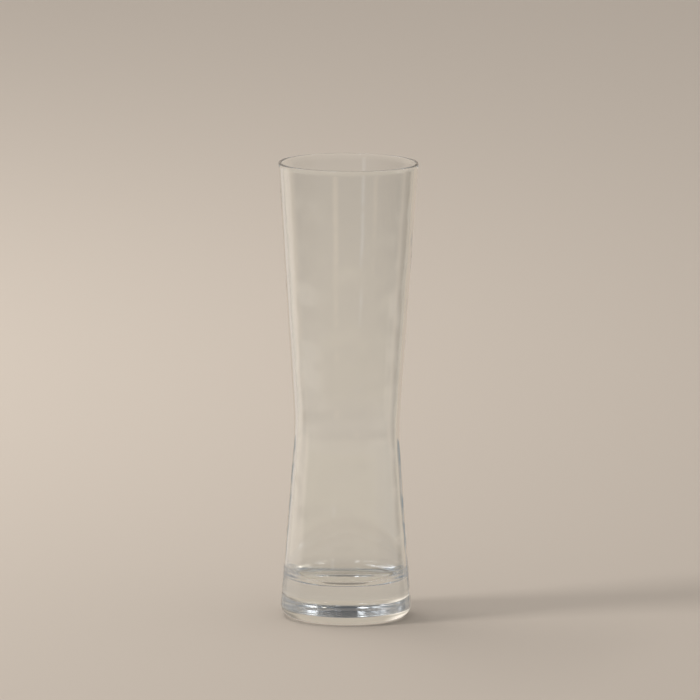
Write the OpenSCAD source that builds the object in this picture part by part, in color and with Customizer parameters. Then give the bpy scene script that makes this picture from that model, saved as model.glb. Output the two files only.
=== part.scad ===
/* [Outside] */
// Height from the table to the top of the lip
glass_h = 229; // [190:1:260]
// Widest outside diameter at the lip
mouth_d = 69.7; // [64:0.1:80]
// Outside diameter at the narrowest height
waist_d = 52.8; // [46:0.2:58]
// Height of the narrowest place above the table
waist_z = 96; // [75:1:120]
// Radius of the soft curve that joins the two cones at the waist
waist_curve_r = 165; // [60:5:220]
// Widest outside diameter, just above the table
foot_d = 65.3; // [60:0.1:76]
// Radius of the rounded outside edge at the table
heel_r = 6; // [2:0.5:8]

/* [Glass thickness] */
// Thickness of the wall from the base to the lip
wall = 1.4; // [1:0.1:2.4]
// Height of the middle of the floor above the table
floor_z = 18; // [10:0.5:28]

/* [Floor inside] */
// Radius of the curve that turns the wall into the floor
floor_corner_r = 7; // [3:0.5:14]
// Radius of the shallow dish in the middle of the floor
floor_dish_r = 300; // [60:10:600]

/* [Underside] */
// Width of the flat ring that the glass stands on
ring_w = 8; // [2:0.5:14]
// Depth of the hollow inside that ring
punt_depth = 1; // [0.5:0.1:4]

/* [Hidden] */
$fn = 180;

// Steps along each small round stretch, and along the long curve of the waist
small_steps = 12;
waist_steps = 16;

// Direction of an angle, and angle of a vector from 0 to 360
function along(a) = [cos(a), sin(a)];
function heading(v) = (atan2(v.y, v.x) + 360) % 360;

// Points on a round stretch about a centre, from one angle to another
function arc(centre, r, from, to, steps = small_steps) =
    [for (i = [0 : steps]) centre + r * along(from + (to - from) * i / steps)];

// All outlines are half sections, [radius, height]
// Centres of the round stretches of the outside
waist_c = [waist_d / 2 + waist_curve_r, waist_z];
lip_r = wall / 2;
lip_c = [mouth_d / 2 - lip_r, glass_h - lip_r];
heel_c = [foot_d / 2 - heel_r, heel_r];

// Angle about the waist's centre at which a line from point p touches a circle of radius r
// side is 1 for a point above the waist and -1 for one below it
function touch(p, r, side) = heading(p - waist_c) + side * acos(r / norm(p - waist_c));

// The upper cone touches the lip and the waist, the lower cone the waist and the heel
upper_touch = touch(lip_c, waist_curve_r + lip_r, 1);
lower_touch = touch(heel_c, waist_curve_r + heel_r, -1);
// Angles at which the two cones face outwards
upper_facing = upper_touch - 180;
lower_facing = lower_touch - 180;

// The floor is a shallow dish, and its corner touches both the dish and the inside of the lower cone
// The corner's centre slides down beside that cone until it is also the right distance from the dish's centre
dish_c = [0, floor_z + floor_dish_r];
corner_from = waist_c + (waist_curve_r + wall + floor_corner_r) * along(lower_touch);
down_wall = along(lower_facing - 90);
corner_back = down_wall * (corner_from - dish_c);
corner_reach = floor_dish_r - floor_corner_r;
corner_gap = norm(corner_from - dish_c);
corner_travel = sqrt(corner_reach ^ 2 - corner_gap ^ 2 + corner_back ^ 2) - corner_back;
corner_c = corner_from + corner_travel * down_wall;
dish_edge = heading(corner_c - dish_c);

// The base ends and the bowl begins where the corner of the floor has become the plain wall
seam_in = corner_c + floor_corner_r * along(lower_facing);
heel_top = heel_c + heel_r * along(lower_facing);
seam_out = [heel_top.x - (seam_in.y - heel_top.y) * tan(lower_facing), seam_in.y];

// The hollow underneath is a shallow dome that starts at the ring that the glass stands on
punt_edge = [heel_c.x - ring_w, 0];
punt_r = (punt_edge.x ^ 2 + punt_depth ^ 2) / (2 * punt_depth);
punt_c = [0, punt_depth - punt_r];

// Thick foot of the glass: hollow underneath, ring, rounded heel and dished floor
module base() {
    color([0.86, 0.89, 0.88, 0.5])
        rotate_extrude()
            polygon(concat(
                arc(punt_c, punt_r, 90, heading(punt_edge - punt_c)),
                arc(heel_c, heel_r, -90, lower_facing),
                [seam_out],
                arc(corner_c, floor_corner_r, lower_facing, dish_edge - 360),
                arc(dish_c, floor_dish_r, dish_edge, 270)
            ));
}

// Thin wall of the glass: lower cone, waist, upper cone and rounded lip
module bowl() {
    color([0.86, 0.89, 0.88, 0.35])
        rotate_extrude()
            polygon(concat(
                [seam_out],
                arc(waist_c, waist_curve_r, lower_touch, upper_touch, waist_steps),
                arc(lip_c, lip_r, upper_facing, upper_facing + 180),
                arc(waist_c, waist_curve_r + wall, upper_touch, lower_touch, waist_steps),
                [seam_in]
            ));
}

base();
bowl();
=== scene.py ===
import math

import bpy
from mathutils import Matrix, Vector


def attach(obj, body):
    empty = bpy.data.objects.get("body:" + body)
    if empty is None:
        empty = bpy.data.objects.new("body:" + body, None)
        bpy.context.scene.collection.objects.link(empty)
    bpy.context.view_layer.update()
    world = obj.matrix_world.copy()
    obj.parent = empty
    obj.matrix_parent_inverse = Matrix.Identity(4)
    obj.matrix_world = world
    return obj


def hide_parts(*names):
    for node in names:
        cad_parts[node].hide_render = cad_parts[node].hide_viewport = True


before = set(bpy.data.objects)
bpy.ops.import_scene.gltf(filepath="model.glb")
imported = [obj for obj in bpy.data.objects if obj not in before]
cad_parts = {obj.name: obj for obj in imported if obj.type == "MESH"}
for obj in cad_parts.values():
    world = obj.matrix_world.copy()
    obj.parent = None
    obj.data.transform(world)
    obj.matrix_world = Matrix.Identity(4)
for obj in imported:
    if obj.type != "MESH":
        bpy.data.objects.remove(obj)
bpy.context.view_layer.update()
print("frame loaded:", ", ".join(sorted(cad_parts)))

mm = 0.001  # sizes are given in millimetres, Blender works in metres


def linearColour(hexColour, strength=1):
    # sRGB hex, as a colour is picked, to the linear values that the shaders take
    shares = [int(hexColour[i:i + 2], 16) / 255 for i in (1, 3, 5)]
    linear = [share / 12.92 if share < 0.04045 else ((share + 0.055) / 1.055) ** 2.4 for share in shares]
    return [share * strength for share in linear] + [1]


def addNode(tree, kind, inputs=None, **settings):
    # adds one node; an input is a value, an output to link from, or a node whose first output is linked
    node = tree.nodes.new("ShaderNode" + kind)
    for name, setting in settings.items():
        setattr(node, name, setting)
    for name, value in (inputs or {}).items():
        if isinstance(value, bpy.types.Node):
            value = value.outputs[0]
        if isinstance(value, bpy.types.NodeSocket):
            tree.links.new(value, node.inputs[name])
        else:
            node.inputs[name].default_value = value
    return node


def newMaterial(name):
    material = bpy.data.materials.new(name)
    material.use_nodes = True
    material.node_tree.nodes.clear()
    return material, material.node_tree


def along(angle):
    # direction of an angle in degrees
    return math.cos(math.radians(angle)), math.sin(math.radians(angle))


def heading(fromPoint, toPoint):
    # angle in degrees of the way from one point to another
    return math.degrees(math.atan2(toPoint[1] - fromPoint[1], toPoint[0] - fromPoint[0])) % 360


def stepFrom(point, angle, distance):
    # point that is a distance away at an angle
    return point[0] + distance * along(angle)[0], point[1] + distance * along(angle)[1]


def arcPoints(centre, radius, start, end, spacing, coarsest=6):
    # points along a round stretch, about spacing apart and never more than the coarsest angle apart
    turn = abs(end - start)
    count = max(2, math.ceil(math.radians(turn) * radius / spacing), math.ceil(turn / coarsest))
    return [stepFrom(centre, start + (end - start) * i / count, radius) for i in range(count + 1)]


def straightPoints(start, end, spacing):
    # points strictly between two others
    count = max(1, math.ceil(math.dist(start, end) / spacing))
    return [[a + (b - a) * i / count for a, b in zip(start, end)] for i in range(1, count)]


glass = {
    "height": 229,
    "mouth": 69.7,  # widest outside diameter at the lip
    "waist": 52.8,  # outside diameter at the narrowest height
    "waistHeight": 96,
    "waistCurve": 165,  # radius of the soft curve between the two cones
    "foot": 65.3,  # widest outside diameter above the table
    "heel": 6,  # radius of the rounded outside edge at the table
    "wall": 1.4,
    "floorHeight": 18,
    "cornerCurve": 7,  # radius that turns the wall into the floor
    "dishCurve": 300,  # radius of the shallow dish of the floor
    "ringWidth": 8,
    "puntDepth": 1,  # depth of the hollow inside the ring that the glass stands on
    "waveBlend": 30,  # distance from the top of the lip over which the inside becomes wavy
    "waveLength": 16,
    "waveHeight": 0.16,
    "spacing": 2.5,  # between the rows of the mesh
    "fineSpacing": 0.625,  # between the rows on the small round edges
    "spinSteps": 192,
    "samePoint": 0.001,  # points that are nearer to each other than this are one
}


def glassOutline(sizes):
    # half section: from the middle of the underside up the outside, over the lip and down the inside
    # to the middle of the floor
    curve, wall = sizes["waistCurve"], sizes["wall"]
    bend = (sizes["waist"] / 2 + curve, sizes["waistHeight"])
    lipRadius = wall / 2
    lip = (sizes["mouth"] / 2 - lipRadius, sizes["height"] - lipRadius)
    heel = (sizes["foot"] / 2 - sizes["heel"], sizes["heel"])

    def touch(centre, radius, side):
        # direction from the bend's centre to where a straight wall that also touches a circle leaves the bend
        return heading(bend, centre) + side * math.degrees(math.acos(radius / math.dist(bend, centre)))

    upper = touch(lip, curve + lipRadius, 1)
    lower = touch(heel, curve + sizes["heel"], -1)

    # the centre of the floor's corner slides down beside the wall until it also fits the dish
    dish = (0, sizes["floorHeight"] + sizes["dishCurve"])
    besideWall = stepFrom(bend, lower, curve + wall + sizes["cornerCurve"])
    down = along(lower - 270)
    back = down[0] * (besideWall[0] - dish[0]) + down[1] * (besideWall[1] - dish[1])
    reach = sizes["dishCurve"] - sizes["cornerCurve"]
    travel = math.sqrt(reach ** 2 - math.dist(besideWall, dish) ** 2 + back ** 2) - back
    corner = stepFrom(besideWall, lower - 270, travel)
    dishEdge = heading(dish, corner)

    ringInside = (heel[0] - sizes["ringWidth"], 0)
    puntRadius = (ringInside[0] ** 2 + sizes["puntDepth"] ** 2) / (2 * sizes["puntDepth"])
    punt = (0, sizes["puntDepth"] - puntRadius)

    spacing, fine = sizes["spacing"], sizes["fineSpacing"]
    stretches = [
        arcPoints(punt, puntRadius, 90, heading(punt, ringInside), spacing),
        arcPoints(heel, sizes["heel"], -90, lower - 180, fine),
        arcPoints(bend, curve, lower, upper, spacing),
        arcPoints(lip, lipRadius, upper - 180, upper, fine),
        arcPoints(bend, curve + wall, upper, lower, spacing),
        arcPoints(corner, sizes["cornerCurve"], lower - 180, dishEdge - 360, fine),
        arcPoints(dish, sizes["dishCurve"], dishEdge, 270, spacing),
    ]
    outline = stretches[0]
    for stretch in stretches[1:]:
        outline += straightPoints(outline[-1], stretch[0], spacing) + stretch
    return [point for i, point in enumerate(outline)
            if i == 0 or math.dist(point, outline[i - 1]) > sizes["samePoint"]]


def insideWeights(outline, blend):
    # 0 outside and at the lip, growing to 1 down the inside
    top = max(range(len(outline)), key=lambda i: outline[i][1])
    return [0 if i <= top else min(1, math.dist(point, outline[top]) / blend)
            for i, point in enumerate(outline)]


def spinOutline(name, outline, weights, sizes):
    # one corner of a plane is drawn out along the half section, which is then spun about the axis
    bpy.ops.object.select_all(action="DESELECT")
    bpy.ops.mesh.primitive_plane_add(size=mm)
    piece = bpy.context.object
    piece.name = piece.data.name = name
    bpy.ops.object.mode_set(mode="EDIT")
    bpy.ops.mesh.merge(type="CENTER")
    bpy.ops.transform.translate(value=(outline[0][0] * mm, 0, outline[0][1] * mm))
    for start, end in zip(outline, outline[1:]):
        move = ((end[0] - start[0]) * mm, 0, (end[1] - start[1]) * mm)
        bpy.ops.mesh.extrude_region_move(TRANSFORM_OT_translate={"value": move})
    bpy.ops.object.mode_set(mode="OBJECT")
    inside = piece.vertex_groups.new(name="inside")
    for index, weight in enumerate(weights):
        inside.add([index], weight, "REPLACE")
    bpy.ops.object.mode_set(mode="EDIT")
    bpy.ops.mesh.select_all(action="SELECT")
    bpy.ops.mesh.spin(steps=sizes["spinSteps"], angle=2 * math.pi, center=(0, 0, 0), axis=(0, 0, 1))
    bpy.ops.mesh.select_all(action="SELECT")
    bpy.ops.mesh.remove_doubles(threshold=sizes["samePoint"] * mm)
    bpy.ops.mesh.normals_make_consistent(inside=False)
    bpy.ops.object.mode_set(mode="OBJECT")
    bpy.ops.object.shade_smooth()
    return piece


def waveInside(piece, sizes):
    # blown glass is true where the mould was and a little wavy inside
    texture = bpy.data.textures.new(piece.name + "Waves", "CLOUDS")
    texture.noise_scale = sizes["waveLength"] * mm
    texture.noise_depth = 1
    bpy.ops.object.modifier_add(type="DISPLACE")
    displace = piece.modifiers[-1]
    displace.texture = texture
    displace.texture_coords = "LOCAL"
    displace.vertex_group = "inside"
    displace.strength = sizes["waveHeight"] * mm
    bpy.ops.object.modifier_apply(modifier=displace.name)


glassFinish = {
    "wallColour": "#fdfefd",
    "footColour": "#f7fbf9",
    "footHeight": 24,  # at this height the foot's colour has given way to the wall's
    "refraction": 1.52,
    "cordLength": 9,
    "cordStretch": 0.3,  # scale of the pattern down the wall, against 1 round it
    "cordDepth": 0.004,
    "scuffHeight": 0.3,
    "scuffLength": 1.5,  # real scuffs are too fine to show, so these are coarser
    "scuffRoughness": 0.25,
    "lipHeight": 1.4,
    "lipRoughness": 0.12,
}


def glassMaterial(finish):
    # soda-lime glass, machine blown and fire polished: clear and smooth, with faint cords that hang down
    # the wall, a breath of green where it is thick, a trace of haze on the lip, and fine scuffs on the
    # ring that it stands on
    material, tree = newMaterial("sodaLimeGlass")
    place = addNode(tree, "TexCoord").outputs["Object"]
    height = addNode(tree, "SeparateXYZ", {0: place}).outputs["Z"]
    hanging = addNode(tree, "Mapping", {"Vector": place, "Scale": (1, 1, finish["cordStretch"])})
    cords = addNode(tree, "TexNoise", {
        "Vector": hanging, "Scale": 1 / (finish["cordLength"] * mm), "Detail": 2})
    bump = addNode(tree, "Bump", {"Height": cords, "Strength": 1, "Distance": finish["cordDepth"] * mm})
    thin = addNode(tree, "MapRange", {"Value": height, "From Max": finish["footHeight"] * mm},
                   interpolation_type="SMOOTHSTEP")
    colour = addNode(tree, "MixRGB", {
        0: thin, 1: linearColour(finish["footColour"]), 2: linearColour(finish["wallColour"])})
    low = addNode(tree, "MapRange", {
        "Value": height, "From Max": finish["scuffHeight"] * mm, "To Min": 1, "To Max": 0})
    scuffs = addNode(tree, "TexNoise", {
        "Vector": place, "Scale": 1 / (finish["scuffLength"] * mm), "Detail": 4})
    worn = addNode(tree, "Math", {0: low, 1: scuffs}, operation="MULTIPLY")
    haze = addNode(tree, "MapRange", {
        "Value": height, "From Min": (glass["height"] - finish["lipHeight"]) * mm,
        "From Max": (glass["height"] - finish["lipHeight"] / 2) * mm, "To Max": finish["lipRoughness"]})
    roughness = addNode(tree, "Math", {0: worn, 1: finish["scuffRoughness"], 2: haze},
                        operation="MULTIPLY_ADD")
    surface = addNode(tree, "BsdfPrincipled", {
        "Base Color": colour,
        "Roughness": roughness,
        "IOR": finish["refraction"],
        "Transmission Weight": 1,
        "Normal": bump,
    })
    addNode(tree, "OutputMaterial", {"Surface": surface})
    return material


outline = glassOutline(glass)
body = spinOutline("clearGlass", outline, insideWeights(outline, glass["waveBlend"]), glass)
waveInside(body, glass)
body.data.materials.append(glassMaterial(glassFinish))
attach(body, "root")
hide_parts("base", "bowl")
print("glass turned:", len(body.data.polygons), "faces")


def placeAt(azimuth, distance, height):
    # a place round the glass: azimuth 0 is towards the camera and 90 is to the right
    turn = math.radians(azimuth)
    return distance * mm * math.sin(turn), -distance * mm * math.cos(turn), height * mm


def azimuthOf(tree, vector):
    # azimuth of a vector in degrees, and the vector's parts
    parts = addNode(tree, "SeparateXYZ", {0: vector})
    towards = addNode(tree, "Math", {0: parts.outputs["Y"], 1: -1}, operation="MULTIPLY")
    angle = addNode(tree, "Math", {0: parts.outputs["X"], 1: towards}, operation="ARCTAN2")
    return addNode(tree, "Math", {0: angle}, operation="DEGREES"), parts


def softWithin(tree, value, middle, half, edge, wrap=False):
    # 1 near the middle, falling softly to 0 over the edge, which ends at half
    away = addNode(tree, "Math", {0: value, 1: middle}, operation="SUBTRACT")
    if wrap:
        away = addNode(tree, "Math", {0: away, 1: 180, 2: -180}, operation="WRAP")
    distance = addNode(tree, "Math", {0: away}, operation="ABSOLUTE")
    return addNode(tree, "MapRange", {"Value": distance, "From Min": half, "From Max": half - edge},
                   interpolation_type="SMOOTHSTEP")


def softPatch(tree, azimuth, height, at, half, edge):
    # 1 in the middle of a patch, falling softly to 0 at its sides and ends
    across = softWithin(tree, azimuth, at[0], half[0], edge[0], wrap=True)
    upwards = softWithin(tree, height, at[1], half[1], edge[1])
    return addNode(tree, "Math", {0: across, 1: upwards}, operation="MULTIPLY")


paper = {
    "colour": "#cfc2b4",
    "radius": 12000,
    "sides": 96,
    "airGap": 0.1,  # the glass doesn't quite touch the paper
    "paintedPool": 0.6,  # strength of the painted pool of light on the paper beneath the glass, which stands in for the light the glass gathers there
    "paintedPoolRadius": 31,
    "paintedPoolEdge": 5,
}


def makePaper():
    # matte paper, pressed and uncoated, so that it scatters light evenly; beneath the glass it carries a
    # painted pool of light
    bpy.ops.object.select_all(action="DESELECT")
    bpy.ops.mesh.primitive_circle_add(vertices=paper["sides"], radius=paper["radius"] * mm,
                                      fill_type="NGON", location=(0, 0, -paper["airGap"] * mm))
    floor = bpy.context.object
    floor.name = "floor"
    material, tree = newMaterial("mattePaper")
    # painted pool of light: the paper beneath the glass glows, standing in for the light that clear glass
    # gathers onto it, as it would otherwise stay in the glass's shadow
    place = addNode(tree, "TexCoord").outputs["Object"]
    fromMiddle = addNode(tree, "VectorMath", {0: place}, operation="LENGTH")
    paintedPoolArea = softWithin(tree, fromMiddle.outputs["Value"], 0, paper["paintedPoolRadius"] * mm,
                       paper["paintedPoolEdge"] * mm)
    paintedPool = addNode(tree, "Math", {0: paintedPoolArea, 1: paper["paintedPool"]}, operation="MULTIPLY")
    surface = addNode(tree, "BsdfPrincipled", {
        "Base Color": linearColour(paper["colour"]),
        "Roughness": 0.9,
        "Specular IOR Level": 0.1,
        # the emission is the painted pool of light beneath the glass, not a lamp
        "Emission Color": linearColour(paper["colour"]),
        "Emission Strength": paintedPool,
    })
    # mirrored rays pass through the paper, so that the room alone decides what the glass mirrors
    path = addNode(tree, "LightPath")
    mirrored = addNode(tree, "Math", {0: path.outputs["Glossy Depth"], 1: path.outputs["Diffuse Depth"]},
                       operation="SUBTRACT", use_clamp=True)
    mixed = addNode(tree, "MixShader", {0: mirrored, 1: surface, 2: addNode(tree, "BsdfTransparent")})
    addNode(tree, "OutputMaterial", {"Surface": mixed})
    floor.data.materials.append(material)


room = {
    "backdrop": "#c4b7a8",
    "fillStrength": 0.57,  # even light from all round
    "sideShift": 0.13,  # most that a look is turned down or up, as the sine of an angle
    "shiftTurns": (-0.2, -0.1),  # sines of the look between which that goes from down to up
}

# What clear and shiny surfaces mirror in front of the glass: evened elevation in degrees, and colour
roomFront = [
    (-90, "#8a8178"), (-28, "#938a81"), (-22, "#bdb4aa"), (-19, "#c5c0ae"), (-18.3, "#d0cabb"),
    (-17.8, "#c5c0ae"), (-17.2, "#97948a"), (-16.7, "#767676"), (-16.3, "#656668"), (-15.2, "#616366"),
    (-14.4, "#898988"), (-12.5, "#a2a19f"), (-3, "#b0adaa"), (-1.7, "#b8b3a1"), (-1, "#acaa9c"),
    (-0.2, "#75777a"), (2, "#94979c"), (30, "#868b92"), (90, "#484c53"),
]

# What stands round the glass, each patch over the ones before: azimuth and evened elevation of its
# middle, half width and half height, and soft edges, all in degrees
roomPatches = [
    # the backdrop behind the glass
    {"at": (180, -25), "half": (85, 67), "edge": (25, 12), "colour": room["backdrop"], "strength": 1},
    # darkness overhead and at both sides
    {"at": (0, 68), "half": (50, 26), "edge": (14, 12), "colour": "#2d3238", "strength": 1},
    {"at": (88, 8), "half": (40, 9), "edge": (26, 1), "colour": "#303236", "strength": 1},
    {"at": (-84, 2), "half": (40, 3), "edge": (26, 0.8), "colour": "#303236", "strength": 1},
    # soft boxes above
    {"at": (-112, 47), "half": (16, 10), "edge": (7, 5), "colour": "#f4f7ff", "strength": 2.6},
    {"at": (-30, 50), "half": (8, 12), "edge": (4, 5), "colour": "#f4f7ff", "strength": 5},
    {"at": (-50, 44), "half": (9, 7), "edge": (4, 4), "colour": "#f4f7ff", "strength": 2.5},
    {"at": (74, 52), "half": (12, 10), "edge": (4, 4), "colour": "#f4f7ff", "strength": 3.6},
    {"at": (30, 36), "half": (4, 5), "edge": (3, 3), "colour": "#fff6e8", "strength": 5},
    {"at": (50, 40), "half": (3, 8), "edge": (2, 4), "colour": "#fff6e8", "strength": 5},
    # pale and dark surfaces below, at the sides and behind
    {"at": (-100, -8), "half": (55, 6.5), "edge": (35, 2), "colour": "#d6d1c9", "strength": 1},
    {"at": (-95, -17.5), "half": (60, 1.4), "edge": (40, 0.8), "colour": "#e4dfd6", "strength": 1},
    {"at": (-127, -9.6), "half": (13, 8.7), "edge": (6, 0.7), "colour": "#fff4e8", "strength": 0.95},
    {"at": (-106, -5), "half": (18, 4.5), "edge": (9, 1), "colour": "#fff4e8", "strength": 1},
    {"at": (121, -9.6), "half": (12, 8.7), "edge": (6, 0.7), "colour": "#3a3b3d", "strength": 1},
    {"at": (88, -3), "half": (32, 2.6), "edge": (20, 1), "colour": "#8a8a8a", "strength": 1},
    {"at": (-147, -9.6), "half": (13, 8.7), "edge": (6, 0.7), "colour": "#fff4e8", "strength": 0.68},
    {"at": (-161, -5.2), "half": (9, 3.6), "edge": (5, 1.4), "colour": "#8f9392", "strength": 1},
    {"at": (159, -5.2), "half": (13, 3.6), "edge": (5, 1.4), "colour": "#8f9392", "strength": 1},
    # small glints from the front
    {"at": (-22.5, -15.6), "half": (8, 0.9), "edge": (7.5, 0.7), "colour": "#ffecd2", "strength": 0.85},
    {"at": (48, -15.4), "half": (6.5, 0.55), "edge": (6, 0.4), "colour": "#ffecd2", "strength": 0.6},
    {"at": (-26.5, -0.3), "half": (5, 0.7), "edge": (4.5, 0.6), "colour": "#e8f1ff", "strength": 1.2},
]


def evenedElevation(tree, azimuth, rise):
    # the flare of the glass mirrors the sides at other heights than the middle, and this evens that out:
    # a look to the front isn't turned, and one straight back is turned most
    halfAzimuth = addNode(tree, "Math", {0: azimuth, 1: math.pi / 360}, operation="MULTIPLY")
    front = addNode(tree, "Math", {0: halfAzimuth}, operation="COSINE")
    sideways = addNode(tree, "Math", {0: 1, 1: front}, operation="SUBTRACT")
    shift = addNode(tree, "MapRange", {
        "Value": rise, "From Min": room["shiftTurns"][0], "From Max": room["shiftTurns"][1],
        "To Min": -room["sideShift"], "To Max": room["sideShift"]})
    evened = addNode(tree, "Math", {0: sideways, 1: shift, 2: rise}, operation="MULTIPLY_ADD")
    angle = addNode(tree, "Math", {0: evened}, operation="ARCSINE")
    return addNode(tree, "Math", {0: angle}, operation="DEGREES")


def makeRoom():
    world = bpy.data.worlds.new("studio")
    bpy.context.scene.world = world
    world.use_nodes = True
    tree = world.node_tree
    tree.nodes.clear()
    azimuth, parts = azimuthOf(tree, addNode(tree, "TexCoord").outputs["Generated"])
    elevation = evenedElevation(tree, azimuth, parts.outputs["Z"])
    share = addNode(tree, "MapRange", {"Value": elevation, "From Min": -90, "From Max": 90})
    seen = addNode(tree, "ValToRGB", {0: share})
    while len(seen.color_ramp.elements) < len(roomFront):
        seen.color_ramp.elements.new(1)
    for element, (degrees, colour) in zip(seen.color_ramp.elements, roomFront):
        element.position = (degrees + 90) / 180
        element.color = linearColour(colour)
    for patch in roomPatches:
        shape = softPatch(tree, azimuth, elevation, patch["at"], patch["half"], patch["edge"])
        seen = addNode(tree, "MixRGB", {
            0: shape, 1: seen, 2: linearColour(patch["colour"], patch["strength"])})
    fill = addNode(tree, "Background", {"Color": [1, 1, 1, 1], "Strength": room["fillStrength"]})
    mirrored = addNode(tree, "Background", {"Color": seen})
    backdrop = addNode(tree, "Background", {"Color": linearColour(room["backdrop"])})
    # glass and shine see the room, matte surfaces see the even fill, and the camera the plain backdrop
    path = addNode(tree, "LightPath")
    clearOrShiny = addNode(tree, "Math", {
        0: path.outputs["Is Glossy Ray"], 1: path.outputs["Is Transmission Ray"]},
        operation="ADD", use_clamp=True)
    unscattered = addNode(tree, "Math", {0: clearOrShiny, 1: path.outputs["Diffuse Depth"]},
                          operation="SUBTRACT", use_clamp=True)
    around = addNode(tree, "MixShader", {0: unscattered, 1: fill, 2: mirrored})
    surface = addNode(tree, "MixShader", {0: path.outputs["Is Camera Ray"], 1: around, 2: backdrop})
    addNode(tree, "OutputWorld", {"Surface": surface})


# Curved cards beside the glass, which show only in it
cards = [
    {"name": "brightSide", "colour": "#fff3e6", "strength": 1.35, "opacity": 0.9,
     "azimuths": (-158, -95), "radius": 260, "height": 330, "flats": 13, "sideEdge": 20, "endEdge": 60},
    {"name": "darkSide", "colour": "#4a4845", "strength": 1, "opacity": 0.7,
     "azimuths": (96, 152), "radius": 260, "height": 330, "flats": 11, "sideEdge": 16, "endEdge": 60},
]


def makeCard(card):
    # a corner of a plane is drawn upwards, and the edge is spun part of the way round the glass
    start, end = card["azimuths"]
    bpy.ops.object.select_all(action="DESELECT")
    bpy.ops.mesh.primitive_plane_add(size=mm)
    piece = bpy.context.object
    piece.name = card["name"]
    bpy.ops.object.mode_set(mode="EDIT")
    bpy.ops.mesh.merge(type="CENTER")
    bpy.ops.transform.translate(value=placeAt(start, card["radius"], 0))
    bpy.ops.mesh.extrude_region_move(TRANSFORM_OT_translate={"value": (0, 0, card["height"] * mm)})
    bpy.ops.mesh.select_all(action="SELECT")
    # a spin turns clockwise about its axis, so this one points down
    bpy.ops.mesh.spin(steps=card["flats"], angle=math.radians(end - start),
                      center=(0, 0, 0), axis=(0, 0, -1))
    bpy.ops.object.mode_set(mode="OBJECT")

    # glowing card with faded edges, which only rays that came straight through glass can see
    material, tree = newMaterial(card["name"] + "Card")
    azimuth, parts = azimuthOf(tree, addNode(tree, "TexCoord").outputs["Object"])
    middle = ((start + end) / 2, card["height"] * mm / 2)
    half = ((end - start) / 2, card["height"] * mm / 2)
    edge = (card["sideEdge"], card["endEdge"] * mm)
    shape = softPatch(tree, azimuth, parts.outputs["Z"], middle, half, edge)
    path = addNode(tree, "LightPath")
    bounced = addNode(tree, "Math", {0: path.outputs["Glossy Depth"], 1: path.outputs["Diffuse Depth"]},
                      operation="ADD")
    shown = addNode(tree, "Math", {0: 1, 1: bounced}, operation="SUBTRACT", use_clamp=True)
    shownShape = addNode(tree, "Math", {0: shape, 1: shown}, operation="MULTIPLY")
    opacity = addNode(tree, "Math", {0: shownShape, 1: card["opacity"]}, operation="MULTIPLY")
    light = addNode(tree, "Emission", {"Color": linearColour(card["colour"]), "Strength": card["strength"]})
    mixed = addNode(tree, "MixShader", {0: opacity, 1: addNode(tree, "BsdfTransparent"), 2: light})
    addNode(tree, "OutputMaterial", {"Surface": mixed})
    material.cycles.emission_sampling = "NONE"
    piece.data.materials.append(material)
    piece.visible_camera = piece.visible_diffuse = piece.visible_shadow = False


# Square lamps that light the paper only, each facing the place of its aim; what the glass mirrors is
# in the room and the cards
lamps = [
    {"name": "keyLamp", "azimuth": -69.5, "distance": 4000, "height": 3300, "side": 1100, "power": 74,
     "aim": (0, 200, 0)},
    {"name": "sideLamp", "azimuth": -136.5, "distance": 900, "height": 1576, "side": 988, "power": 21.4,
     "aim": (-2500, 1132, 0)},
]


def hangLamp(lamp):
    light = bpy.data.lights.new(lamp["name"], "AREA")
    light.size = lamp["side"] * mm
    light.energy = lamp["power"]
    hung = bpy.data.objects.new(lamp["name"], light)
    bpy.context.scene.collection.objects.link(hung)
    hung.location = placeAt(lamp["azimuth"], lamp["distance"], lamp["height"])
    hung.rotation_euler = (hung.location - Vector(lamp["aim"]) * mm).to_track_quat("Z", "Y").to_euler()
    hung.visible_camera = hung.visible_glossy = hung.visible_transmission = False


# The photograph's camera, fitted to the lip and the foot: place, lens, and angles in degrees
view = {
    "distance": 4488.2,
    "height": 831.8,
    "lens": 468.25,
    "lookDown": 8.832,
    "lookRight": 0.0167,
    "roll": 0.35,
}


def placeCamera():
    optics = bpy.data.cameras.new("camera")
    optics.lens = view["lens"]
    camera = bpy.data.objects.new("camera", optics)
    bpy.context.scene.collection.objects.link(camera)
    turn = (Matrix.Rotation(math.radians(-view["lookRight"]), 4, "Z")
            @ Matrix.Rotation(math.radians(90 - view["lookDown"]), 4, "X")
            @ Matrix.Rotation(math.radians(view["roll"]), 4, "Z"))
    camera.matrix_world = Matrix.Translation(placeAt(0, view["distance"], view["height"])) @ turn
    bpy.context.scene.camera = camera


makePaper()
makeRoom()
print("paper and room set:", len(roomPatches), "patches")
for card in cards:
    makeCard(card)
for lamp in lamps:
    hangLamp(lamp)
placeCamera()
print("cards, lamps and camera set")

scene = bpy.context.scene
scene.view_settings.view_transform = "Standard"
# light that enters the lip runs down inside the wall and turns hundreds of times before it leaves at the foot
lightTurns = 400
scene.cycles.max_bounces = scene.cycles.transmission_bounces = scene.cycles.glossy_bounces = lightTurns
